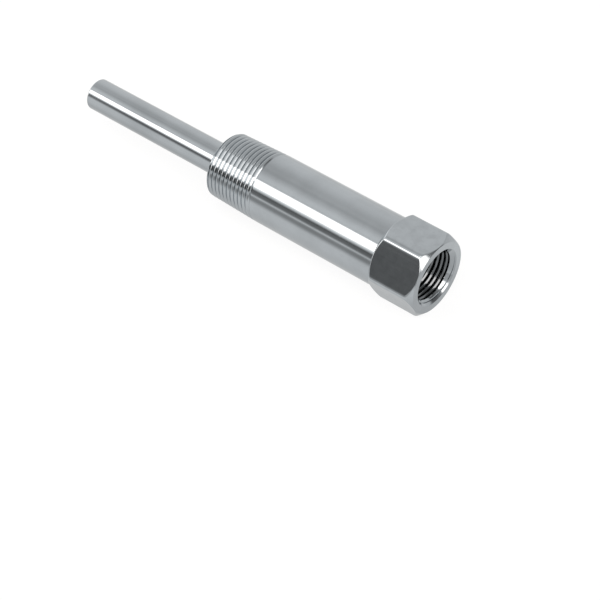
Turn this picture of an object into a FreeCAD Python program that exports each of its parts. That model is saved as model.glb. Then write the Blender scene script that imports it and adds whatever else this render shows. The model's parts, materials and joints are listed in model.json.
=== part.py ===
import FreeCAD, Part

import os

import Sketcher

# A threaded thermowell turned from one hexagon bar. Lengths are millimetres, angles are degrees.
# The origin is the centre of the hexagon's front face. +X points out of the socket, towards the
# instrument, and the stem runs along -X to its closed tip. +Z is up: the well lies on one flat.

# Driving dimensions
SIZES = {
    # the whole well, from the hexagon's front face to the tip
    "overall_length": 161.9,
    # hexagon head
    "hex_across_flats": 28.0,
    "hex_length": 19.5,
    "hex_corner_radius": 2.1,
    "face_circle_diameter": 27.7,
    "face_chamfer_angle": 45,
    "back_circle_diameter": 27.3,
    "back_chamfer_angle": 39,
    # plain cylinder behind the head
    "cylinder_diameter": 26.67,
    "cylinder_length": 54.5,
    # tapered pipe thread, its taper taken on the diameter
    "thread_length": 21.4,
    "thread_taper": 0.0625,
    "thread_pitch": 1.8143,
    "thread_depth": 0.62,
    "thread_angle": 60,
    "thread_chamfer": 0.6,
    # slim stem
    "stem_diameter": 12.4,
    "stem_root_radius": 0.9,
    "tip_edge_radius": 0.5,
    # threaded socket for the instrument, at the size of its thread's crests
    "socket_diameter": 18.6,
    "socket_depth": 22.0,
    "socket_mouth_diameter": 22.3,
    "socket_mouth_angle": 45,
    # bore for the sensor
    "sensor_bore_diameter": 6.6,
    "tip_wall": 6.35,
    "drill_point_angle": 118,
    # how far a cut's outline reaches past the metal
    "overrun": 2.0,
    # the same for the thread's groove, and the turns it runs on past the small end
    "thread_overrun": 0.2,
    "turns_past_end": 1,
}

# Sizes worked out from the driving ones, as formulas that read the sheet
HEX_CORNER = "sizes.hex_across_flats / sqrt(3)"
FACE_CIRCLE = "sizes.face_circle_diameter / 2"
BACK_CIRCLE = "sizes.back_circle_diameter / 2"
CYLINDER = "sizes.cylinder_diameter / 2"
STEM = "sizes.stem_diameter / 2"
SOCKET = "sizes.socket_diameter / 2"
SOCKET_MOUTH = "sizes.socket_mouth_diameter / 2"
SENSOR_BORE = "sizes.sensor_bore_diameter / 2"
OUTSIDE = f"{HEX_CORNER} + sizes.overrun"
PAST_TIP = "sizes.overall_length + sizes.overrun"
PAST_FACE = "-sizes.overrun"
THREAD_END = "sizes.hex_length + sizes.cylinder_length"
THREAD_FACE = f"{THREAD_END} + sizes.thread_length"
THREAD_HALF_TAPER = "sizes.thread_taper / 2"
THREAD_SMALL = f"{CYLINDER} - sizes.thread_length * {THREAD_HALF_TAPER}"
DRILL_HALF_ANGLE = "sizes.drill_point_angle / 2"

doc = FreeCAD.newDocument("thermowell")

sheet = doc.addObject("Spreadsheet::Sheet", "sizes")
sheet.Label = "sizes"
for row, (name, number) in enumerate(SIZES.items(), start=1):
    sheet.set(f"A{row}", name)
    sheet.set(f"B{row}", str(number))
    sheet.setAlias(f"B{row}", name)
doc.recompute()

body = doc.addObject("PartDesign::Body", "turned_well")
body.Label = "turned_well"


def origin_plane(role):
    """Finds one of the body's own origin planes or axes."""
    return next(feature for feature in body.Origin.OriginFeatures if feature.Role == role)


def hold(sketch, kind, axis, line, formula):
    """Holds the start of a line at a formula's distance from the origin, along one direction."""
    number = sheet.evalExpression(formula)
    start = 1
    origin = (-1, 1)
    if abs(number) < 1e-9:
        sketch.addConstraint(Sketcher.Constraint("PointOnObject", line, start, axis))
        return
    if number > 0:
        constraint = Sketcher.Constraint(kind, *origin, line, start, number)
        index = sketch.addConstraint(constraint)
        sketch.setExpression(f"Constraints[{index}]", formula)
    else:
        constraint = Sketcher.Constraint(kind, line, start, *origin, -number)
        index = sketch.addConstraint(constraint)
        sketch.setExpression(f"Constraints[{index}]", f"-({formula})")


def draw(sketch, corners):
    """Draws a closed outline of straight runs, each corner held by two formulas."""
    places = [
        FreeCAD.Vector(sheet.evalExpression(across), sheet.evalExpression(up), 0)
        for across, up in corners
    ]
    for place, following in zip(places, places[1:] + places[:1]):
        sketch.addGeometry(Part.LineSegment(place, following), False)
    count = len(corners)
    for line, (across, up) in enumerate(corners):
        sketch.addConstraint(Sketcher.Constraint("Coincident", line, 2, (line + 1) % count, 1))
        hold(sketch, "DistanceX", -2, line, across)
        hold(sketch, "DistanceY", -1, line, up)


def outline(name, plane, corners):
    """Draws an outline on one of the body's own origin planes."""
    sketch = body.newObject("Sketcher::SketchObject", name)
    sketch.AttachmentSupport = [(origin_plane(plane), "")]
    sketch.MapMode = "FlatFace"
    draw(sketch, corners)
    return sketch


def half_section(corners):
    """Turns (distance behind the front face, radius) pairs into (X, Z) pairs."""
    return [(f"-({behind})", radius) for behind, radius in corners]


def turned_cut(name, corners):
    """Takes a half section away all round the well's axis."""
    before = body.Shape.Volume
    sketch = outline(f"{name}_section", "XZ_Plane", half_section(corners))
    groove = body.newObject("PartDesign::Groove", name)
    groove.Profile = sketch
    groove.ReferenceAxis = (sketch, ["H_Axis"])
    groove.Angle = 360
    doc.recompute()
    if groove.Shape.Volume >= before:
        raise RuntimeError(f"{name} takes nothing away")
    return groove


def rounded(name, base, formula, chosen):
    """Rounds the edges of the base feature that a test chooses."""
    edges = [
        f"Edge{number}"
        for number, edge in enumerate(base.Shape.Edges, start=1)
        if chosen(edge)
    ]
    fillet = body.newObject("PartDesign::Fillet", name)
    fillet.Base = (base, edges)
    fillet.setExpression("Radius", formula)
    doc.recompute()
    return fillet


def ring(edge, behind, radius):
    """Tells whether an edge is a full circle round the axis, at one place and of one radius."""
    if not isinstance(edge.Curve, Part.Circle):
        return False
    centre = edge.Curve.Center
    return (
        abs(centre.x + sheet.evalExpression(behind)) < 1e-3
        and abs(edge.Curve.Radius - sheet.evalExpression(radius)) < 1e-3
    )


# Hexagon bar stock, one flat up and one down, with its long edges eased
half_corner = f"{HEX_CORNER} / 2"
half_flats = "sizes.hex_across_flats / 2"
bar_outline = outline(
    "bar_outline",
    "YZ_Plane",
    [
        (HEX_CORNER, "0"),
        (half_corner, half_flats),
        (f"-({half_corner})", half_flats),
        (f"-({HEX_CORNER})", "0"),
        (f"-({half_corner})", f"-({half_flats})"),
        (half_corner, f"-({half_flats})"),
    ],
)
bar = body.newObject("PartDesign::Pad", "bar")
bar.Profile = bar_outline
bar.setExpression("Length", "sizes.overall_length")
bar.Reversed = True
doc.recompute()
rounded(
    "eased_bar",
    bar,
    "sizes.hex_corner_radius",
    lambda edge: abs(edge.Vertexes[0].X - edge.Vertexes[-1].X) > 1.0,
)

# Outside turned down from the bar: stem, chamfered and tapered thread blank, cylinder, back chamfer
chamfer_start = f"{THREAD_FACE} - sizes.thread_chamfer"
chamfer_radius = f"{THREAD_SMALL} + sizes.thread_chamfer * {THREAD_HALF_TAPER}"
back_chamfer_end = f"sizes.hex_length - ({OUTSIDE} - {BACK_CIRCLE}) * tan(sizes.back_chamfer_angle)"
turned_cut(
    "turned_outside",
    [
        (PAST_TIP, OUTSIDE),
        (PAST_TIP, STEM),
        (THREAD_FACE, STEM),
        (THREAD_FACE, f"{chamfer_radius} - sizes.thread_chamfer"),
        (chamfer_start, chamfer_radius),
        (THREAD_END, CYLINDER),
        ("sizes.hex_length", CYLINDER),
        ("sizes.hex_length", BACK_CIRCLE),
        (back_chamfer_end, OUTSIDE),
    ],
)

# Front corners of the hexagon turned to a cone that leaves a round face
turned_cut(
    "face_chamfer",
    [
        ("0", FACE_CIRCLE),
        (f"({OUTSIDE} - {FACE_CIRCLE}) * tan(sizes.face_chamfer_angle)", OUTSIDE),
        (PAST_FACE, OUTSIDE),
        (PAST_FACE, FACE_CIRCLE),
    ],
)

# Socket with its chamfered mouth, its drilled bottom, and the long bore that stops short of the tip
bore_point = f"{SENSOR_BORE} / tan({DRILL_HALF_ANGLE})"
socket_point = f"({SOCKET} - {SENSOR_BORE}) / tan({DRILL_HALF_ANGLE})"
bores = turned_cut(
    "bores",
    [
        (PAST_FACE, "0"),
        (PAST_FACE, f"{SOCKET_MOUTH} + sizes.overrun * tan(sizes.socket_mouth_angle)"),
        (f"({SOCKET_MOUTH} - {SOCKET}) / tan(sizes.socket_mouth_angle)", SOCKET),
        ("sizes.socket_depth", SOCKET),
        (f"sizes.socket_depth + {socket_point}", SENSOR_BORE),
        (f"sizes.overall_length - sizes.tip_wall - {bore_point}", SENSOR_BORE),
        ("sizes.overall_length - sizes.tip_wall", "0"),
    ],
)

# Eased edge of the tip, and the fillet where the stem meets the thread's end face
tip_edge = rounded(
    "tip_edge",
    bores,
    "sizes.tip_edge_radius",
    lambda edge: ring(edge, "sizes.overall_length", STEM),
)
stem_root = rounded(
    "stem_root",
    tip_edge,
    "sizes.stem_root_radius",
    lambda edge: ring(edge, THREAD_FACE, STEM),
)

# Right-hand thread cut into the tapered blank, as a V groove that follows the taper. It starts in the
# air past the small end and ends, after whole turns, on the underside at the plain cylinder.
groove_turns = "(ceil(sizes.thread_length / sizes.thread_pitch) + sizes.turns_past_end)"
groove_travel = f"{groove_turns} * sizes.thread_pitch"
groove_start = f"{THREAD_END} + {groove_travel}"
groove_crest = f"{CYLINDER} - {groove_travel} * {THREAD_HALF_TAPER}"
groove_top = f"-({groove_crest} + sizes.thread_overrun)"
groove_half_width = "(sizes.thread_depth + sizes.thread_overrun) * tan(sizes.thread_angle / 2)"

helix = doc.addObject("Part::Helix", "thread_helix")
helix.setExpression("Pitch", "sizes.thread_pitch")
helix.setExpression("Height", groove_travel)
helix.setExpression("Radius", groove_crest)
helix.setExpression("Angle", f"atan({THREAD_HALF_TAPER})")
helix.SegmentLength = 1
helix.Placement = FreeCAD.Placement(FreeCAD.Vector(), FreeCAD.Rotation(FreeCAD.Vector(0, 1, 0), 90))
helix.setExpression("Placement.Base.x", f"-({groove_start})")

groove_section = doc.addObject("Sketcher::SketchObject", "groove_section")
groove_section.Placement = FreeCAD.Placement(
    FreeCAD.Vector(), FreeCAD.Rotation(FreeCAD.Vector(1, 0, 0), 90)
)
draw(
    groove_section,
    half_section(
        [
            (groove_start, f"-({groove_crest} - sizes.thread_depth)"),
            (f"{groove_start} - {groove_half_width}", groove_top),
            (f"{groove_start} + {groove_half_width}", groove_top),
        ]
    ),
)
doc.recompute()

groove = doc.addObject("Part::Sweep", "thread_groove")
groove.Sections = [groove_section]
groove.Spine = (helix, [f"Edge{number}" for number in range(1, len(helix.Shape.Edges) + 1)])
groove.Solid = True
groove.Frenet = True

well = doc.addObject("Part::Cut", "threaded_well")
well.Label = "thermowell"
well.Base = body
well.Tool = groove
doc.recompute()
if well.Shape.Volume >= body.Shape.Volume:
    raise RuntimeError("the thread takes nothing away")

for made in doc.Objects:
    if "Invalid" in made.State or "Error" in made.State:
        raise RuntimeError(f"{made.Label} failed: {made.State}")

shape = well.Shape
if shape.isNull() or not shape.isValid() or len(shape.Solids) != 1:
    raise RuntimeError("the thermowell is not one valid solid")

os.makedirs("parts", exist_ok=True)
shape.exportStep(f"parts/{well.Label}.step")
print("volume", round(shape.Volume, 1))
print("cut by the thread", round(body.Shape.Volume - shape.Volume, 1))
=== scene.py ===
"""Looks of a threaded thermowell, turned from one hexagon bar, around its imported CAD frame."""

import json
import logging
import math
from collections.abc import Callable, Sequence
from dataclasses import dataclass, field
from enum import Enum

import bmesh
import bpy
from bmesh.types import BMesh, BMVert
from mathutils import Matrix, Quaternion, Vector


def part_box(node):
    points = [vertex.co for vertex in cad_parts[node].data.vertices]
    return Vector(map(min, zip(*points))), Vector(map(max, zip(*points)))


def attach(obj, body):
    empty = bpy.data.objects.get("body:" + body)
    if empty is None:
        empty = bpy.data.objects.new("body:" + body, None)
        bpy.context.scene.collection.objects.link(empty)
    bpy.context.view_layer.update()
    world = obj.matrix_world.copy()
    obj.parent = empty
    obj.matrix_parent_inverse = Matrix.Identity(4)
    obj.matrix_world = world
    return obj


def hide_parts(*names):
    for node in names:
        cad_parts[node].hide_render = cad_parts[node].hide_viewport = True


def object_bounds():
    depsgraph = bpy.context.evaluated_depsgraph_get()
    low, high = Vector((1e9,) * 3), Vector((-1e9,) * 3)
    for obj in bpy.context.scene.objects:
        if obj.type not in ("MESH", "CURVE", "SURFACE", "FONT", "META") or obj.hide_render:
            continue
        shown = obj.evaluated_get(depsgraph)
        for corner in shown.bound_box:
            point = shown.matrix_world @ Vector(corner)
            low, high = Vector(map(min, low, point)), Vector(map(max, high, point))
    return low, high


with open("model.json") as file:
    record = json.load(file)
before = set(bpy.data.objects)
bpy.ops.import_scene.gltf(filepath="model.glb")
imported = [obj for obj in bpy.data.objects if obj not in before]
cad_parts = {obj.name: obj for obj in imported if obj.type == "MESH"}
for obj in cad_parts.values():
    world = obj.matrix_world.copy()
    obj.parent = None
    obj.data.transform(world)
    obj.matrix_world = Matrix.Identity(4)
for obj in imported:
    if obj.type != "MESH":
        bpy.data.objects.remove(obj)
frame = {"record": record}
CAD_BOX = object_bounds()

log = logging.getLogger("thermowell")

MM = 0.001
INCH = 25.4 * MM
# Both threads have 14 turns to the inch.
PIPE_PITCH = INCH / 14
SIDES = 6
# Every ring of the mesh has this many vertices, a multiple of twice the hexagon's sides.
COLUMNS = 240
# Vertices nearer than this are one vertex. A thread's seam misses itself by less.
MERGE = 0.003 * MM
WHITE = (1.0, 1.0, 1.0, 1.0)

Outline = Sequence[tuple[float, float]]


class Grain(Enum):
    """The direction of the fine marks that a tool left in the steel."""

    ROUND = "round the axis"
    ALONG = "along the bar"
    RINGS = "rings on a face"


@dataclass(frozen=True)
class SteelFinish:
    """A finish of the same bright stainless steel, as one way of working leaves it; the darker
    copies for the deep socket and the bore paint shade into its colour.
    """

    name: str
    grain: Grain
    colour: tuple[float, float, float] = (0.455, 0.485, 0.505)
    roughness: float = 0.12
    # how far the roughness wanders from its middle, over which part of the marks' height
    roughness_spread: float = 0.05
    mark_range: tuple[float, float] = (0.25, 0.75)
    # marks to the metre across them and along them, and how deep they stand
    marks: float = 3000.0
    marks_along: float = 60.0
    drawn_along: float = 30.0
    mark_depth: float = 0.006 * MM
    mark_detail: float = 4.0
    mark_roughness: float = 0.65
    # how much darker the dullest patches are, the patches to the metre, and their edges
    stain: float = 0.12
    clouds: float = 60.0
    cloud_detail: float = 6.0
    cloud_roughness: float = 0.6
    cloud_range: tuple[float, float] = (0.3, 0.6)

    def material(self) -> bpy.types.Material:
        """Builds the finish as a node material.

        Returns:
            The material, which reads Object coordinates.
        """
        made = bpy.data.materials.new(self.name)
        made.use_nodes = True
        tree = made.node_tree
        nodes, links = tree.nodes, tree.links
        shader = nodes["Principled BSDF"]
        shader.inputs["Metallic"].default_value = 1.0
        place = nodes.new("ShaderNodeTexCoord").outputs["Object"]
        marks = self._marks(tree, place)

        clouds = nodes.new("ShaderNodeTexNoise")
        clouds.inputs["Scale"].default_value = self.clouds
        clouds.inputs["Detail"].default_value = self.cloud_detail
        clouds.inputs["Roughness"].default_value = self.cloud_roughness
        links.new(place, clouds.inputs["Vector"])

        tint = nodes.new("ShaderNodeMix")
        tint.data_type = "RGBA"
        bright = (*self.colour, 1.0)
        dull = (*(part * (1.0 - self.stain) for part in self.colour), 1.0)
        tint.inputs["A"].default_value = dull
        tint.inputs["B"].default_value = bright
        spread = nodes.new("ShaderNodeMapRange")
        spread.inputs["From Min"].default_value = self.cloud_range[0]
        spread.inputs["From Max"].default_value = self.cloud_range[1]
        links.new(clouds.outputs["Fac"], spread.inputs["Value"])
        links.new(spread.outputs["Result"], tint.inputs["Factor"])
        links.new(tint.outputs["Result"], shader.inputs["Base Color"])

        gloss = nodes.new("ShaderNodeMapRange")
        gloss.inputs["From Min"].default_value = self.mark_range[0]
        gloss.inputs["From Max"].default_value = self.mark_range[1]
        gloss.inputs["To Min"].default_value = self.roughness - self.roughness_spread
        gloss.inputs["To Max"].default_value = self.roughness + self.roughness_spread
        links.new(marks, gloss.inputs["Value"])
        links.new(gloss.outputs["Result"], shader.inputs["Roughness"])

        bump = nodes.new("ShaderNodeBump")
        bump.inputs["Strength"].default_value = 1.0
        bump.inputs["Distance"].default_value = self.mark_depth
        links.new(marks, bump.inputs["Height"])
        links.new(bump.outputs["Normal"], shader.inputs["Normal"])
        return made

    def _marks(
        self, tree: bpy.types.NodeTree, place: bpy.types.NodeSocket
    ) -> bpy.types.NodeSocket:
        """Makes the fine marks as noise drawn out in the grain's direction.

        Args:
            tree: The material's node tree.
            place: The Object coordinates.

        Returns:
            A socket with the marks' height, from 0 to 1.
        """
        nodes, links = tree.nodes, tree.links
        noise = nodes.new("ShaderNodeTexNoise")
        noise.inputs["Scale"].default_value = 1.0
        noise.inputs["Detail"].default_value = self.mark_detail
        noise.inputs["Roughness"].default_value = self.mark_roughness
        stretch = nodes.new("ShaderNodeMapping")
        stretch.inputs["Scale"].default_value = {
            Grain.ROUND: (self.marks, self.marks_along, self.marks_along),
            Grain.ALONG: (self.drawn_along, self.marks, self.marks),
            Grain.RINGS: (self.marks, self.marks_along, self.marks_along),
        }[self.grain]
        if self.grain is Grain.RINGS:
            place = self._face_place(tree, place)
        links.new(place, stretch.inputs["Vector"])
        links.new(stretch.outputs["Vector"], noise.inputs["Vector"])
        return noise.outputs["Fac"]

    @staticmethod
    def _face_place(
        tree: bpy.types.NodeTree, place: bpy.types.NodeSocket
    ) -> bpy.types.NodeSocket:
        """Puts the distance from the axis where the place along it was.

        Args:
            tree: The material's node tree.
            place: The Object coordinates.

        Returns:
            A socket with (distance from the axis, Y, Z).
        """
        nodes, links = tree.nodes, tree.links
        apart = nodes.new("ShaderNodeSeparateXYZ")
        links.new(place, apart.inputs["Vector"])
        flat = nodes.new("ShaderNodeCombineXYZ")
        together = nodes.new("ShaderNodeCombineXYZ")
        length = nodes.new("ShaderNodeVectorMath")
        length.operation = "LENGTH"
        for side in ("Y", "Z"):
            links.new(apart.outputs[side], flat.inputs[side])
            links.new(apart.outputs[side], together.inputs[side])
        links.new(flat.outputs["Vector"], length.inputs[0])
        links.new(length.outputs["Value"], together.inputs["X"])
        return together.outputs["Vector"]


TURNED = SteelFinish("turned_steel", Grain.ROUND, roughness=0.09, roughness_spread=0.03)
THREADED = SteelFinish("thread_steel", Grain.ROUND, roughness=0.08, roughness_spread=0.03)
DRAWN = SteelFinish(
    "drawn_steel",
    Grain.ALONG,
    roughness=0.06,
    roughness_spread=0.03,
    mark_depth=0.003 * MM,
    clouds=300.0,
)
FACED = SteelFinish("faced_steel", Grain.RINGS, roughness=0.13)
TAPPED = SteelFinish(
    "tapped_steel", Grain.ROUND, roughness=0.1, roughness_spread=0.02, mark_depth=0.001 * MM
)
# a much darker copy of the steel, which paints the shade deep in the socket's thread
PAINTED_SHADE_THREAD = SteelFinish(
    "thread_steel_painted_shade",
    Grain.ROUND,
    colour=(0.19, 0.201, 0.209),
    roughness=0.11,
    roughness_spread=0.02,
    mark_depth=0.001 * MM,
)
# rougher, and darker than the outer steel: the darker colour is painted shade in the deep bore
BORED_PAINTED_SHADE = SteelFinish("bored_steel_painted_shade", Grain.ROUND, colour=(0.40, 0.425, 0.44), roughness=0.2)
FINISHES = (TURNED, THREADED, DRAWN, FACED, TAPPED, PAINTED_SHADE_THREAD, BORED_PAINTED_SHADE)


def behind_face(vertex: BMVert) -> float:
    """Gives a vertex's distance behind the hexagon's front face."""
    return -vertex.co.x


def angle_of(vertex: BMVert) -> float:
    """Gives a vertex's angle round the axis, from the underside towards +Y."""
    return math.atan2(vertex.co.y, -vertex.co.z)


def put(vertex: BMVert, behind: float, angle: float, radius: float) -> None:
    """Puts a vertex at a distance behind the face, an angle and a radius."""
    vertex.co = (-behind, radius * math.sin(angle), -radius * math.cos(angle))


def arc(
    centre: tuple[float, float], radius: float, first: float, last: float, steps: int
) -> list[tuple[float, float]]:
    """Lays points on an arc of an outline.

    Args:
        centre: The arc's centre, as (distance behind the face, radius).
        radius: The arc's own radius.
        first: The first point's direction in degrees, from away from the face towards outwards.
        last: The last point's direction in degrees.
        steps: The number of runs between the points.

    Returns:
        The points, both ends included.
    """
    turns = [math.radians(first + (last - first) * step / steps) for step in range(steps + 1)]
    return [
        (centre[0] + radius * math.cos(turn), centre[1] + radius * math.sin(turn))
        for turn in turns
    ]


def eased(
    outline: Outline, radii: Sequence[float], steps: int = 3, support: float = 0.03 * MM
) -> list[tuple[float, float]]:
    """Rounds the corners of an outline, with a point on either side that keeps the runs straight.

    Args:
        outline: Points as (distance behind the face, radius).
        radii: The arc's radius at every point but the first and the last.
        steps: The number of runs on an arc.
        support: How far from an arc the point beside it stands.

    Returns:
        The outline's points, with both ends where they were.
    """
    made = [outline[0]]
    for before, corner, after, radius in zip(outline, outline[1:], outline[2:], radii):
        here = Vector(corner)
        back, on = (Vector(before) - here).normalized(), (Vector(after) - here).normalized()
        half = back.angle(on) / 2
        reach = radius / math.tan(half)
        middle = here + (back + on).normalized() * (radius / math.sin(half))
        first, last = here + back * reach - middle, here + on * reach - middle
        points = [middle + first + back * support]
        for step in range(steps + 1):
            share = step / steps
            points.append(middle + (first * (1 - share) + last * share).normalized() * radius)
        points.append(middle + last + on * support)
        made.extend((point.x, point.y) for point in points)
    return [*made, outline[-1]]


@dataclass
class Sleeve:
    """One open surface spun round the axis, before it joins the well."""

    # points as (distance behind the face, radius)
    outline: Outline
    finish: SteelFinish
    # how far the outline moves towards the face in its one right-hand turn
    pitch: float = 0.0
    mesh: BMesh = field(init=False)

    def __post_init__(self) -> None:
        """Spins the outline once round the axis."""
        self.mesh = bmesh.new()
        points = [self.mesh.verts.new((-behind, 0.0, radius)) for behind, radius in self.outline]
        runs = [self.mesh.edges.new(pair) for pair in zip(points, points[1:])]
        bmesh.ops.spin(
            self.mesh,
            geom=[*points, *runs],
            cent=(0.0, 0.0, 0.0),
            axis=(1.0, 0.0, 0.0),
            dvec=(self.pitch / COLUMNS, 0.0, 0.0),
            angle=math.tau,
            steps=COLUMNS,
            use_merge=self.pitch == 0.0,
        )
        for face in self.mesh.faces:
            face.material_index = FINISHES.index(self.finish)

    def rings(self) -> list[list[BMVert]]:
        """Sorts the vertices of a turned sleeve by the outline's points.

        Returns:
            A list of vertices for each point of the outline.
        """
        found: list[list[BMVert]] = [[] for _ in self.outline]
        for vertex in self.mesh.verts:
            radius = math.hypot(vertex.co.y, vertex.co.z)
            miss = [
                abs(behind_face(vertex) - behind) + abs(radius - away)
                for behind, away in self.outline
            ]
            found[miss.index(min(miss))].append(vertex)
        return found

    def reshape(
        self, radius_at: Callable[[float, float], float], nearest: float, farthest: float
    ) -> None:
        """Moves every vertex onto a surface that is known by its radius.

        Args:
            radius_at: Gives the radius at a distance behind the face and an angle.
            nearest: The smallest distance behind the face that a vertex may have.
            farthest: The greatest one.
        """
        for vertex in self.mesh.verts:
            behind = max(nearest, min(farthest, behind_face(vertex)))
            angle = angle_of(vertex)
            put(vertex, behind, angle, radius_at(behind, angle))


@dataclass
class Lathe:
    """The well's mesh, which grows by one sleeve after another."""

    mesh: BMesh = field(default_factory=bmesh.new)

    def add(self, sleeve: Sleeve) -> None:
        """Adds a finished sleeve to the well.

        Args:
            sleeve: The sleeve, whose own mesh is used up.
        """
        carried = bpy.data.meshes.new("sleeve")
        sleeve.mesh.to_mesh(carried)
        sleeve.mesh.free()
        self.mesh.from_mesh(carried)
        bpy.data.meshes.remove(carried)

    def turn(self, outline: Outline, finish: SteelFinish) -> None:
        """Adds a plain turned surface.

        Args:
            outline: Points as (distance behind the face, radius).
            finish: The finish of the surface.
        """
        self.add(Sleeve(outline, finish))

    def close(self) -> None:
        """Joins the sleeves into one closed surface whose faces point outwards."""
        bmesh.ops.remove_doubles(self.mesh, verts=self.mesh.verts, dist=MERGE)
        bmesh.ops.recalc_face_normals(self.mesh, faces=self.mesh.faces)


@dataclass
class PipeThread:
    """A right-hand V thread on or in the metal, with rounded crests.

    A groove's centre stands at a known distance behind the face on the underside of the axis.
    """

    # the last groove's place on the underside
    underside: float
    pitch: float = PIPE_PITCH
    # the V, as if its crests were flat, and where its bottom is cut off
    depth: float = 0.8 * MM
    half_width: float = 0.44 * MM
    root: float = 0.93
    # a narrower and deeper V in the middle of the first
    slot_depth: float = 0.0
    slot_half_width: float = 0.4 * MM
    # the radius across a crest, and how far its highest line stands from its middle
    crown: float = 1.2 * MM
    crown_shift: float = 0.15 * MM
    # the last turn, where the tool draws out, and the turns from the end where it starts
    last_depth: float = 0.6 * MM
    last_half_width: float = 0.58 * MM
    last_turns: float = 1.5
    # over how many turns a groove runs out
    fade_turns: float = 0.3
    # places across a groove where the mesh has an edge, short of the crest's middle
    edges: tuple[float, ...] = tuple(
        edge * MM for edge in (0.03, 0.16, 0.3, 0.38, 0.45, 0.59, 0.74)
    )

    def off_centre(self, behind: float, angle: float) -> tuple[float, float]:
        """Finds the groove nearest to a point.

        Args:
            behind: The point's distance behind the face.
            angle: The point's angle from the underside.

        Returns:
            How far behind that groove's centre the point is, and the turns left to the
            thread's end.
        """
        turned = angle / math.tau
        course = (behind - self.underside) / self.pitch + turned
        groove = round(course)
        return (course - groove) * self.pitch, groove - turned

    def cut(self, behind: float, angle: float) -> float:
        """Gives how deep the thread is cut at a point.

        Args:
            behind: The point's distance behind the face.
            angle: The point's angle from the underside.

        Returns:
            The depth under the plain surface.
        """
        offset, turns_left = self.off_centre(behind, angle)
        away = abs(offset)
        last = max(0.0, min(1.0, self.last_turns - turns_left))
        depth = (self.depth + (self.last_depth - self.depth) * last) * self.faded(turns_left)
        width = self.half_width + (self.last_half_width - self.half_width) * last
        groove = depth * max(0.0, min(self.root, 1.0 - away / width))
        slot = self.slot_depth * min(self.root, 1.0 - away / self.slot_half_width)
        # the crest on the face's side is rounded only once the groove beyond it is there
        beside = turns_left if offset > 0.0 else turns_left - 1.0
        down = self.pitch / 2 - away + math.copysign(self.crown_shift, offset)
        crest = down**2 / (2 * self.crown) * self.faded(beside)
        return max(groove, slot, crest)

    def faded(self, turns_left: float) -> float:
        """Gives how much of a groove is there so near the thread's end, from 0 to 1."""
        return max(0.0, min(1.0, turns_left / self.fade_turns))

    def rows(self, nearest: float, farthest: float) -> list[float]:
        """Lists the distances behind the face where the wound outline has a point.

        Args:
            nearest: The smallest distance behind the face that every column has to reach.
            farthest: The greatest one.

        Returns:
            The distances, on the top of the axis where the outline starts.
        """
        offsets = sorted([*self.edges, *(-edge for edge in self.edges), self.pitch / 2])
        # a whole turn more on either side, because a column starts up to a turn away
        first = math.floor((nearest - self.underside) / self.pitch) - 1
        last = math.ceil((farthest - self.underside) / self.pitch) + 2
        middles = [self.underside + (turn + 0.5) * self.pitch for turn in range(first, last)]
        return [middle + offset for middle in middles for offset in offsets]


@dataclass
class Stem:
    """The slim closed stem, from the centre of its tip to the thread's end face."""

    tip: float
    radius: float
    end_face: float
    tip_round: float = 0.5 * MM
    root_round: float = 0.9 * MM
    steps: int = 8

    def build(self, lathe: Lathe) -> None:
        """Turns the tip, its eased edge, the stem and the fillet at its root.

        Args:
            lathe: The well's mesh, which takes the surfaces.
        """
        tip_arc = arc(
            (self.tip - self.tip_round, self.radius - self.tip_round),
            self.tip_round,
            0.0,
            90.0,
            self.steps,
        )
        root_arc = arc(
            (self.end_face + self.root_round, self.radius + self.root_round),
            self.root_round,
            270.0,
            180.0,
            self.steps,
        )
        lathe.turn([(self.tip, 0.0), *tip_arc, *root_arc], TURNED)


@dataclass
class ProcessThread:
    """The tapered male thread, with its end face and its chamfer."""

    end_face: float
    # where the taper starts, and its radius there
    run_out: float
    big_radius: float
    # the end face's inner edge, at the stem's fillet
    face_radius: float
    half_taper: float = 1 / 32
    chamfer: float = 0.6 * MM
    chamfer_steps: int = 6
    # how much of the plain cylinder belongs to the wound mesh, as room for the last turn
    plain: float = 1.4 * MM
    thread: PipeThread = field(init=False)

    def __post_init__(self) -> None:
        """Places the thread's grooves."""
        self.thread = PipeThread(self.run_out)

    def radius_at(self, behind: float, angle: float) -> float:
        """Gives the radius of the threaded metal at a point.

        Args:
            behind: The point's distance behind the face.
            angle: The point's angle from the underside.

        Returns:
            The radius, of the taper, the chamfer or the groove.
        """
        cone = self.big_radius - max(0.0, behind - self.run_out) * self.half_taper
        small = self.big_radius - (self.end_face - self.run_out) * self.half_taper
        edge = small - self.chamfer + (self.end_face - behind)
        return min(edge, cone - self.thread.cut(behind, angle))

    def build(self, lathe: Lathe) -> None:
        """Turns the end face and the chamfer, and winds the thread up to the plain cylinder.

        Args:
            lathe: The well's mesh, which takes the surfaces.
        """
        chamfer_end = self.end_face - self.chamfer
        chamfer_rows = [
            (self.end_face - self.chamfer * step / self.chamfer_steps, self.big_radius)
            for step in range(self.chamfer_steps + 1)
        ]
        end = Sleeve([(self.end_face, self.face_radius), *chamfer_rows], THREADED)
        for ring in end.rings()[1:]:
            for vertex in ring:
                behind, angle = behind_face(vertex), angle_of(vertex)
                put(vertex, behind, angle, self.radius_at(behind, angle))
        lathe.add(end)
        nearest = self.run_out - self.plain
        rows = self.thread.rows(nearest, chamfer_end)
        wound = Sleeve([(row, self.big_radius) for row in rows], THREADED, self.thread.pitch)
        wound.reshape(self.radius_at, nearest, chamfer_end)
        lathe.add(wound)


@dataclass
class Barrel:
    """The plain cylinder between the thread and the hexagon."""

    thread_side: float
    head_side: float
    radius: float

    def build(self, lathe: Lathe) -> None:
        """Turns the cylinder."""
        lathe.turn([(self.thread_side, self.radius), (self.head_side, self.radius)], TURNED)


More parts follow.
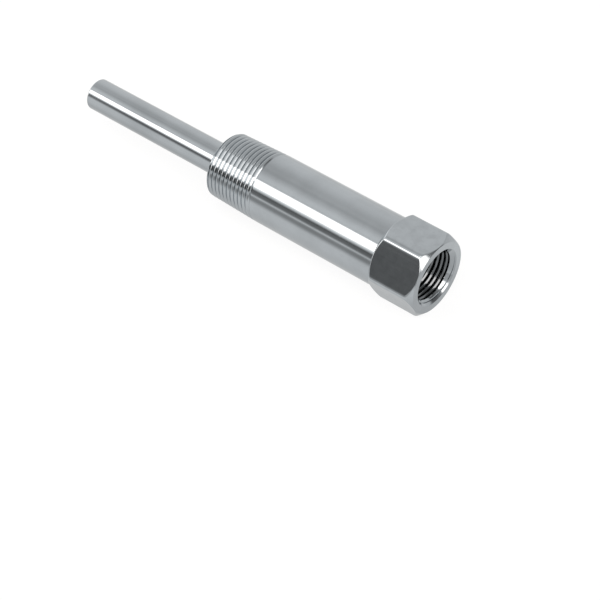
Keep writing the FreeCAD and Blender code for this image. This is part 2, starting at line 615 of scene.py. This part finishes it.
@dataclass
class HexHead:
    """The hexagon head, with a turned cone at either end and eased edges."""

    half_flats: float
    length: float
    barrel_radius: float
    # the front face's inner edge, outside the eased mouth
    inner_radius: float
    face_radius: float = 13.8 * MM
    back_radius: float = 13.65 * MM
    face_angle: float = 45.0
    back_angle: float = 39.0
    # the long corners, and the columns on half of one
    corner_round: float = 2.1 * MM
    corner_columns: int = 6
    # the edges between face, front cone, flats, back cone and back
    edge_rounds: tuple[float, ...] = (0.12 * MM, 0.12 * MM, 0.3 * MM, 0.1 * MM)
    # how much rounder either cone's outer edge is for each metre that it stands out
    corner_wear: float = 0.8
    back_wear: float = 0.4
    # a face that leans more than this along the axis was turned
    turned_lean: float = 0.5

    def corner_place(self, angle: float) -> tuple[float, float]:
        """Moves a column's angle so that the eased corners get more columns than the flats.

        Args:
            angle: The column's angle from the underside, where a flat has its middle.

        Returns:
            The new angle, and the radius of the hexagon's outline there.
        """
        side = math.tau / SIDES
        corner = (math.floor(angle / side) + 0.5) * side
        column = (angle - corner) / (math.tau / COLUMNS)
        half = side / 2
        middle = (self.half_flats - self.corner_round) / math.cos(half)
        if round(abs(column)) <= self.corner_columns:
            turn = half * column / self.corner_columns
            across = self.corner_round * math.sin(turn)
            out = middle + self.corner_round * math.cos(turn)
            return corner + math.atan2(across, out), math.hypot(across, out)
        rim = math.atan2(
            self.corner_round * math.sin(half), middle + self.corner_round * math.cos(half)
        )
        flat_columns = COLUMNS / (2 * SIDES) - self.corner_columns
        share = (abs(column) - self.corner_columns) / flat_columns
        turn = math.copysign(rim + (half - rim) * share, column)
        return corner + turn, self.half_flats / math.cos(half - abs(turn))

    def section(self, radius: float) -> list[tuple[float, float]]:
        """Draws the head's outline in one plane through the axis.

        Args:
            radius: The hexagon's radius in that plane.

        Returns:
            Points as (distance behind the face, radius).
        """
        front = (radius - self.face_radius) * math.tan(math.radians(self.face_angle))
        back = (radius - self.back_radius) * math.tan(math.radians(self.back_angle))
        corners = [
            (0.0, self.inner_radius),
            (0.0, self.face_radius),
            (front, radius),
            (self.length - back, radius),
            (self.length, self.back_radius),
            (self.length, self.barrel_radius),
        ]
        face, front_edge, back_edge, shoulder = self.edge_rounds
        front_edge += self.corner_wear * (radius - self.half_flats)
        back_edge += self.back_wear * (radius - self.half_flats)
        return eased(corners, (face, front_edge, back_edge, shoulder))

    def build(self, lathe: Lathe) -> None:
        """Turns the front ring and the head, whose columns then take the hexagon's outline.

        Args:
            lathe: The well's mesh, which takes the surfaces.
        """
        head = Sleeve(self.section(self.half_flats), DRAWN)
        # the first and the last ring meet turned surfaces, and stay as they are
        for number, ring in list(enumerate(head.rings()))[1:-1]:
            for vertex in ring:
                angle, radius = self.corner_place(angle_of(vertex))
                behind, away = self.section(radius)[number]
                put(vertex, behind, angle, away)
        lathe.add(head)

    def dress(self, mesh: BMesh) -> None:
        """Gives the turned faces of the head their own finishes.

        Args:
            mesh: The whole well's mesh, with its faces pointing outwards.
        """
        for face in mesh.faces:
            if face.material_index != FINISHES.index(DRAWN):
                continue
            if face.normal.x > self.turned_lean:
                face.material_index = FINISHES.index(FACED)
            elif face.normal.x < -self.turned_lean:
                face.material_index = FINISHES.index(TURNED)


@dataclass
class Socket:
    """The threaded socket for the instrument, and the long bore behind it."""

    mouth_radius: float
    crest_radius: float
    depth: float
    bore_radius: float
    bore_end: float
    drill_half_angle: float = 59.0
    thread_depth: float = 0.74 * MM
    thread_half_width: float = 0.74 * MM
    slot_depth: float = 1.48 * MM
    thread_crown: float = 2.0 * MM
    thread_edges: tuple[float, ...] = tuple(
        edge * MM for edge in (0.012, 0.028, 0.15, 0.275, 0.48, 0.7, 0.77)
    )
    thread_end: float = 17.0 * MM
    mouth_round: float = 0.35 * MM
    # where the front face takes over from the mouth's eased edge
    face_start: float = 0.4 * MM
    # a groove's place on the underside, and how many turns it is let run on past the mouth
    groove_place: float = 1.0 * MM
    turns_past: int = 10
    thread: PipeThread = field(init=False)

    def __post_init__(self) -> None:
        """Places the socket's grooves."""
        self.thread = PipeThread(
            self.groove_place - self.turns_past * PIPE_PITCH,
            depth=self.thread_depth,
            half_width=self.thread_half_width,
            last_depth=self.thread_depth,
            last_half_width=self.thread_half_width,
            slot_depth=self.slot_depth,
            crown=self.thread_crown,
            crown_shift=0.0,
            edges=self.thread_edges,
        )

    def radius_at(self, behind: float, angle: float) -> float:
        """Gives the radius of the socket's wall at a point.

        Args:
            behind: The point's distance behind the face.
            angle: The point's angle from the underside.

        Returns:
            The radius, of the countersink or the thread.
        """
        there = max(0.0, min(1.0, (self.thread_end - behind) / self.thread.pitch))
        return max(
            self.mouth_radius - behind,
            self.crest_radius + self.thread.cut(behind, angle) * there,
        )

    def build(self, lathe: Lathe) -> None:
        """Turns the countersink, winds the thread, and turns the drilled bottom and the bore.

        Args:
            lathe: The well's mesh, which takes the surfaces.
        """
        root_radius = self.crest_radius + self.slot_depth * self.thread.root
        first = self.mouth_radius - root_radius
        mouth = [
            (0.0, self.mouth_radius + self.face_start),
            (0.0, self.mouth_radius),
            (first, root_radius),
        ]
        lathe.turn(eased(mouth, (self.mouth_round,)), FACED)
        rows = [(row, root_radius) for row in self.thread.rows(first, self.thread_end)]
        wound = Sleeve(rows, TAPPED, self.thread.pitch)
        wound.reshape(self.radius_at, first, self.thread_end)
        # painted shade: the thread deep in the socket takes the much darker copy of the steel
        self.dress(wound.mesh)
        lathe.add(wound)
        slope = math.tan(math.radians(self.drill_half_angle))
        bore_start = self.depth + (self.crest_radius - self.bore_radius) / slope
        bore_stop = self.bore_end - self.bore_radius / slope
        # the drilled bottom and the bore take the darker steel, which paints their shade
        lathe.turn(
            [
                (self.thread_end, self.crest_radius),
                (self.depth, self.crest_radius),
                (bore_start, self.bore_radius),
                (bore_stop, self.bore_radius),
                (self.bore_end, 0.0),
            ],
            BORED_PAINTED_SHADE,
        )

    def dress(self, mesh: BMesh) -> None:
        """Paints shade on the thread behind the countersink, with a much darker copy of the steel.

        Args:
            mesh: The wound mesh of the socket's wall.
        """
        countersink = self.mouth_radius - self.crest_radius
        for face in mesh.faces:
            if -face.calc_center_median().x > countersink:
                face.material_index = FINISHES.index(PAINTED_SHADE_THREAD)


@dataclass
class Thermowell:
    """The whole well as one closed mesh that stands for the CAD solid."""

    name: str = "well"
    barrel_radius: float = 13.335 * MM
    hex_length: float = 19.5 * MM
    mouth_radius: float = 11.15 * MM
    socket_depth: float = 22.0 * MM
    tip_wall: float = 6.35 * MM
    thread_length: float = 21.4 * MM
    # edges that turn by more degrees than this stay sharp
    sharp: float = 20.0
    stem: Stem = field(init=False)
    process_thread: ProcessThread = field(init=False)
    barrel: Barrel = field(init=False)
    head: HexHead = field(init=False)
    socket: Socket = field(init=False)

    def __post_init__(self) -> None:
        """Takes the driving sizes from the frame and sets the well's parts by them."""
        low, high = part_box("thermowell")
        mounts = {mount["name"]: mount for mount in frame["record"]["mounts"]}
        stem_radius = mounts["stem"]["dims"]["r_mm"] * MM
        crest_radius = mounts["instrument_thread"]["dims"]["r_mm"] * MM
        bore_radius = mounts["sensor_bore"]["dims"]["r_mm"] * MM
        end_face = -mounts["process_thread"]["pos_m"][0]
        run_out = end_face - self.thread_length
        self.stem = Stem(-low.x, stem_radius, end_face)
        self.process_thread = ProcessThread(
            end_face, run_out, self.barrel_radius, stem_radius + self.stem.root_round
        )
        self.barrel = Barrel(
            run_out - self.process_thread.plain, self.hex_length, self.barrel_radius
        )
        self.socket = Socket(
            self.mouth_radius, crest_radius, self.socket_depth, bore_radius, -low.x - self.tip_wall
        )
        inner_radius = self.mouth_radius + self.socket.face_start
        self.head = HexHead(high.z, self.hex_length, self.barrel_radius, inner_radius)

    def build(self) -> bpy.types.Object:
        """Builds the well and gives it its finishes.

        Returns:
            The piece, which rides on the frame's one body.
        """
        lathe = Lathe()
        for part in (self.stem, self.process_thread, self.barrel, self.head, self.socket):
            part.build(lathe)
            log.info("%s turned, %d faces so far", type(part).__name__, len(lathe.mesh.faces))
        lathe.close()
        self.head.dress(lathe.mesh)
        data = bpy.data.meshes.new(self.name)
        lathe.mesh.to_mesh(data)
        lathe.mesh.free()
        data.shade_smooth()
        data.set_sharp_from_angle(angle=math.radians(self.sharp))
        for finish in FINISHES:
            data.materials.append(finish.material())
        piece = bpy.data.objects.new(self.name, data)
        bpy.context.scene.collection.objects.link(piece)
        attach(piece, "root")
        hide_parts("thermowell")
        return piece


@dataclass(frozen=True)
class Glow:
    """How bright the studio is at one angle, and evenly between two such angles."""

    # degrees round the lying well, from straight up towards the camera's side
    angle: float
    level: float


@dataclass
class Studio:
    """The pale floor, the soft light and the camera."""

    floor_size: float = 4.0
    # the matt part of the floor, which takes the shadow
    floor_white: float = 0.9
    # how much of the floor that the camera sees is a white of its own, so that the shadow is
    # light, and how bright that is
    floor_glow: float = 0.85
    floor_level: float = 1.03
    # what the metal sees of the floor, by the distance from the well's axis to the far side: the
    # darker levels near the axis are the well's painted shadow, and the rest is painted light and
    # shade on the floor
    floor_mirrored: tuple[tuple[float, float], ...] = (
        (-800.0 * MM, 0.45),
        (-300.0 * MM, 0.65),
        (-170.0 * MM, 0.8),
        (-100.0 * MM, 0.92),
        (-25.0 * MM, 0.9),
        (-14.0 * MM, 0.78),
        (-10.0 * MM, 0.7),
        (13.0 * MM, 0.72),
        (25.0 * MM, 0.86),
        (40.0 * MM, 0.88),
        (80.0 * MM, 0.78),
    )
    # the light along the well's sides: pale from above, a long soft box high in front, and
    # dark under it down to the floor
    side_light: tuple[Glow, ...] = (
        Glow(-180.0, 0.82),
        Glow(-101.0, 0.85),
        Glow(-58.0, 0.88),
        Glow(-41.0, 0.82),
        Glow(-29.0, 0.74),
        Glow(-18.0, 0.67),
        Glow(-7.0, 0.68),
        Glow(0.5, 0.615),
        Glow(4.5, 0.64),
        Glow(9.5, 0.72),
        Glow(15.5, 0.8),
        Glow(21.5, 0.9),
        Glow(29.5, 0.97),
        Glow(33.5, 0.96),
        Glow(37.0, 0.86),
        Glow(40.0, 0.9),
        Glow(42.0, 3.2),
        Glow(63.2, 3.2),
        Glow(65.7, 1.7),
        Glow(69.0, 1.15),
        Glow(72.0, 0.75),
        Glow(74.5, 0.38),
        Glow(75.8, 0.18),
        Glow(77.7, 0.15),
        Glow(79.0, 0.2),
        Glow(82.0, 0.23),
        Glow(85.5, 0.24),
        Glow(88.0, 0.32),
        Glow(90.0, 0.6),
        Glow(91.5, 0.86),
        Glow(180.0, 0.92),
    )
    # the light past the head's front, which only surfaces that lean towards the head see
    front_light: tuple[Glow, ...] = (
        Glow(-180.0, 0.82),
        Glow(-115.0, 0.82),
        Glow(-100.0, 0.78),
        Glow(-60.0, 0.72),
        Glow(-35.0, 0.64),
        Glow(-20.0, 0.66),
        Glow(7.0, 0.65),
        Glow(11.0, 1.5),
        Glow(38.0, 1.5),
        Glow(41.0, 3.2),
        Glow(63.5, 3.2),
        Glow(66.5, 1.0),
        Glow(69.0, 0.1),
        Glow(83.0, 0.05),
        Glow(86.5, 0.75),
        Glow(92.0, 0.8),
        Glow(120.0, 0.9),
        Glow(180.0, 0.92),
    )
    # the light off the head's end, which the front ring and the mouth see
    end_light: tuple[Glow, ...] = (
        Glow(-180.0, 0.82),
        Glow(-92.0, 0.85),
        Glow(-88.0, 0.15),
        Glow(-45.0, 0.17),
        Glow(-20.0, 0.32),
        Glow(-13.0, 0.5),
        Glow(-9.5, 3.0),
        Glow(44.0, 3.0),
        Glow(48.0, 1.2),
        Glow(52.0, 0.75),
        Glow(60.0, 0.62),
        Glow(90.0, 0.65),
        Glow(92.0, 0.8),
        Glow(120.0, 0.88),
        Glow(180.0, 0.92),
    )
    # the light from beyond the stem's tip
    back_light: tuple[Glow, ...] = (
        Glow(-180.0, 0.82),
        Glow(-100.0, 0.88),
        Glow(-60.0, 1.4),
        Glow(0.0, 1.3),
        Glow(25.0, 0.7),
        Glow(66.0, 0.7),
        Glow(76.0, 2.6),
        Glow(115.0, 2.6),
        Glow(130.0, 0.92),
        Glow(180.0, 0.92),
    )
    # between which parts of a way along +X one light gives over to the next
    side_starts: tuple[float, float] = (-0.78, -0.66)
    front_starts: tuple[float, float] = (-0.39, -0.25)
    end_starts: tuple[float, float] = (0.5, 0.62)
    # the light's colour where it is bright, and the levels between which it comes in
    bright_tint: tuple[float, float, float] = (1.0, 0.945, 0.91)
    bright_range: tuple[float, float] = (1.0, 2.5)
    # the grey card on the floor in front, by its distance from the well's axis
    card_light: tuple[tuple[float, float], ...] = (
        (38.0 * MM, 0.92),
        (41.0 * MM, 0.88),
        (45.5 * MM, 0.81),
        (51.0 * MM, 0.7),
        (58.0 * MM, 0.55),
        (67.0 * MM, 0.45),
        (80.0 * MM, 0.4),
        (99.0 * MM, 0.39),
        (130.0 * MM, 0.4),
        (193.0 * MM, 0.6),
        (380.0 * MM, 0.95),
        (700.0 * MM, 0.75),
        (1500.0 * MM, 0.65),
    )
    card_lift: float = 0.5 * MM
    card_half_length: float = 1.0
    # the card's edge beside the stem, and how far it runs away for each metre from the axis
    card_edge: float = -88.0 * MM
    card_slant: float = -0.7
    # where the camera looks, how far it stands off, its lens, and how far it leans to its left
    target: Vector = field(default_factory=lambda: Vector((-28.64, -39.57, 0.0)) * MM)
    distance: float = 633.01 * MM
    azimuth: float = 38.405
    elevation: float = 42.523
    lean: float = 1.641
    focal_length: float = 112.0

    def build(self) -> None:
        """Builds the camera, the light, the floor and the card."""
        self.make_camera()
        self.make_light()
        self.make_floor()
        self.make_card()
        bpy.context.scene.view_settings.view_transform = "Standard"

    def make_camera(self) -> None:
        """Sets the camera at the photograph's viewing angle."""
        around, above = math.radians(self.azimuth), math.radians(self.elevation)
        back = Vector(
            (
                math.sin(around) * math.cos(above),
                -math.cos(around) * math.cos(above),
                math.sin(above),
            )
        )
        data = bpy.data.cameras.new("camera")
        data.lens = self.focal_length
        camera = bpy.data.objects.new("camera", data)
        camera.location = self.target + back * self.distance
        camera.rotation_mode = "QUATERNION"
        upright = (-back).to_track_quat("-Z", "Y")
        camera.rotation_quaternion = upright @ Quaternion((0.0, 0.0, 1.0), math.radians(self.lean))
        bpy.context.scene.collection.objects.link(camera)
        bpy.context.scene.camera = camera
        log.info("camera at %s", tuple(round(part, 4) for part in camera.location))

    @staticmethod
    def ramp(
        tree: bpy.types.NodeTree,
        place: bpy.types.NodeSocket,
        stops: Sequence[tuple[float, float]],
    ) -> bpy.types.NodeSocket:
        """Makes a level that changes evenly from stop to stop.

        Args:
            tree: The node tree.
            place: Where on the ramp, in the stops' own unit.
            stops: Pairs of a place and a level.

        Returns:
            A socket with the level.
        """
        nodes, links = tree.nodes, tree.links
        first, last = stops[0][0], stops[-1][0]
        brightest = max(level for _, level in stops)
        share = nodes.new("ShaderNodeMapRange")
        share.inputs["From Min"].default_value = first
        share.inputs["From Max"].default_value = last
        links.new(place, share.inputs["Value"])
        colours = nodes.new("ShaderNodeValToRGB")
        elements = colours.color_ramp.elements
        elements.remove(elements[1])
        for number, (where, level) in enumerate(stops):
            position = (where - first) / (last - first)
            element = elements[0] if number == 0 else elements.new(position)
            element.position = position
            element.color = (*(level / brightest,) * 3, 1.0)
        links.new(share.outputs["Result"], colours.inputs["Fac"])
        scale = nodes.new("ShaderNodeMath")
        scale.operation = "MULTIPLY"
        scale.inputs[1].default_value = brightest
        links.new(colours.outputs["Color"], scale.inputs[0])
        return scale.outputs["Value"]

    def make_light(self) -> None:
        """Makes the world's light, which runs along the well, with white behind it."""
        world = bpy.data.worlds.new("studio")
        world.use_nodes = True
        bpy.context.scene.world = world
        tree = world.node_tree
        nodes, links = tree.nodes, tree.links
        way = nodes.new("ShaderNodeTexCoord").outputs["Generated"]
        apart = nodes.new("ShaderNodeSeparateXYZ")
        links.new(way, apart.inputs["Vector"])
        forward = nodes.new("ShaderNodeMath")
        forward.operation = "MULTIPLY"
        forward.inputs[1].default_value = -1.0
        links.new(apart.outputs["Y"], forward.inputs[0])
        turn = nodes.new("ShaderNodeMath")
        turn.operation = "ARCTAN2"
        links.new(forward.outputs["Value"], turn.inputs[0])
        links.new(apart.outputs["Z"], turn.inputs[1])
        lights = (self.back_light, self.side_light, self.front_light, self.end_light)
        level, side, front, end = (
            self.ramp(
                tree,
                turn.outputs["Value"],
                [(math.radians(glow.angle), glow.level) for glow in light],
            )
            for light in lights
        )
        for beyond, starts in (
            (side, self.side_starts),
            (front, self.front_starts),
            (end, self.end_starts),
        ):
            past = nodes.new("ShaderNodeMapRange")
            past.interpolation_type = "SMOOTHSTEP"
            past.inputs["From Min"].default_value = starts[0]
            past.inputs["From Max"].default_value = starts[1]
            links.new(apart.outputs["X"], past.inputs["Value"])
            blend = nodes.new("ShaderNodeMix")
            links.new(past.outputs["Result"], blend.inputs["Factor"])
            links.new(level, blend.inputs["A"])
            links.new(beyond, blend.inputs["B"])
            level = blend.outputs["Result"]
        bright = nodes.new("ShaderNodeMapRange")
        bright.inputs["From Min"].default_value = self.bright_range[0]
        bright.inputs["From Max"].default_value = self.bright_range[1]
        links.new(level, bright.inputs["Value"])
        tint = nodes.new("ShaderNodeMix")
        tint.data_type = "RGBA"
        tint.inputs["A"].default_value = WHITE
        tint.inputs["B"].default_value = (*self.bright_tint, 1.0)
        links.new(bright.outputs["Result"], tint.inputs["Factor"])
        rays = nodes.new("ShaderNodeLightPath")
        plain = nodes.new("ShaderNodeMix")
        plain.data_type = "RGBA"
        plain.inputs["B"].default_value = WHITE
        links.new(rays.outputs["Is Camera Ray"], plain.inputs["Factor"])
        links.new(tint.outputs["Result"], plain.inputs["A"])
        links.new(plain.outputs["Result"], nodes["Background"].inputs["Color"])
        seen = nodes.new("ShaderNodeMix")
        seen.inputs["B"].default_value = 1.0
        links.new(rays.outputs["Is Camera Ray"], seen.inputs["Factor"])
        links.new(level, seen.inputs["A"])
        links.new(seen.outputs["Result"], nodes["Background"].inputs["Strength"])
        log.info("light made of %d levels", sum(len(light) for light in lights))

    @staticmethod
    def lay(name: str, corners: Sequence[Vector], paint: bpy.types.Material) -> bpy.types.Object:
        """Lays a level sheet of the stage.

        Args:
            name: Its name.
            corners: Its corners, anticlockwise from above.
            paint: Its material.

        Returns:
            The sheet.
        """
        mesh = bmesh.new()
        mesh.faces.new([mesh.verts.new(corner) for corner in corners])
        data = bpy.data.meshes.new(name)
        mesh.to_mesh(data)
        mesh.free()
        data.materials.append(paint)
        sheet = bpy.data.objects.new(name, data)
        bpy.context.scene.collection.objects.link(sheet)
        return sheet

    def make_floor(self) -> None:
        """Makes the pale floor that the well lies on."""
        paint = bpy.data.materials.new("floor_paint")
        paint.use_nodes = True
        tree = paint.node_tree
        nodes, links = tree.nodes, tree.links
        nodes.remove(nodes["Principled BSDF"])
        matt = nodes.new("ShaderNodeBsdfDiffuse")
        matt.inputs["Color"].default_value = (*(self.floor_white,) * 3, 1.0)
        place = nodes.new("ShaderNodeTexCoord").outputs["Object"]
        apart = nodes.new("ShaderNodeSeparateXYZ")
        links.new(place, apart.inputs["Vector"])
        glow = nodes.new("ShaderNodeEmission")
        rays = nodes.new("ShaderNodeLightPath")
        level = nodes.new("ShaderNodeMix")
        level.inputs["A"].default_value = self.floor_level
        # glossy rays see the well's painted shadow on the floor and its painted light and shade,
        # by the distance from the axis
        links.new(self.ramp(tree, apart.outputs["Y"], self.floor_mirrored), level.inputs["B"])
        links.new(rays.outputs["Is Glossy Ray"], level.inputs["Factor"])
        links.new(level.outputs["Result"], glow.inputs["Strength"])
        own = nodes.new("ShaderNodeMath")
        own.operation = "MULTIPLY"
        own.inputs[1].default_value = self.floor_glow
        links.new(rays.outputs["Is Camera Ray"], own.inputs[0])
        share = nodes.new("ShaderNodeMath")
        share.operation = "MAXIMUM"
        links.new(own.outputs["Value"], share.inputs[0])
        links.new(rays.outputs["Is Glossy Ray"], share.inputs[1])
        blend = nodes.new("ShaderNodeMixShader")
        links.new(share.outputs["Value"], blend.inputs["Fac"])
        links.new(matt.outputs["BSDF"], blend.inputs[1])
        links.new(glow.outputs["Emission"], blend.inputs[2])
        links.new(blend.outputs["Shader"], nodes["Material Output"].inputs["Surface"])
        half, ground = self.floor_size / 2, CAD_BOX[0].z
        sides = ((-1.0, -1.0), (1.0, -1.0), (1.0, 1.0), (-1.0, 1.0))
        self.lay("floor", [Vector((x * half, y * half, ground)) for x, y in sides], paint)

    def make_card(self) -> None:
        """Makes the grey card in front, which only the metal sees."""
        paint = bpy.data.materials.new("card_paint")
        paint.use_nodes = True
        tree = paint.node_tree
        nodes, links = tree.nodes, tree.links
        nodes.remove(nodes["Principled BSDF"])
        place = nodes.new("ShaderNodeTexCoord").outputs["Object"]
        apart = nodes.new("ShaderNodeSeparateXYZ")
        links.new(place, apart.inputs["Vector"])
        forward = nodes.new("ShaderNodeMath")
        forward.operation = "MULTIPLY"
        forward.inputs[1].default_value = -1.0
        links.new(apart.outputs["Y"], forward.inputs[0])
        glow = nodes.new("ShaderNodeEmission")
        level = self.ramp(tree, forward.outputs["Value"], self.card_light)
        links.new(level, glow.inputs["Strength"])
        links.new(glow.outputs["Emission"], nodes["Material Output"].inputs["Surface"])
        height = CAD_BOX[0].z + self.card_lift
        near, far = self.card_light[0][0], self.card_light[-1][0]
        corners = [
            Vector((self.card_edge + self.card_slant * far, -far, height)),
            Vector((self.card_half_length, -far, height)),
            Vector((self.card_half_length, -near, height)),
            Vector((self.card_edge + self.card_slant * near, -near, height)),
        ]
        card = self.lay("card", corners, paint)
        card.visible_camera = False
        card.visible_diffuse = False
        card.visible_shadow = False


def main() -> None:
    """Builds the studio and the well, and reports each piece."""
    logging.basicConfig(level=logging.INFO, format="%(name)s: %(message)s")
    Studio().build()
    piece = Thermowell().build()
    log.info("%s: %d faces", piece.name, len(piece.data.polygons))


if __name__ == "__main__":
    main()
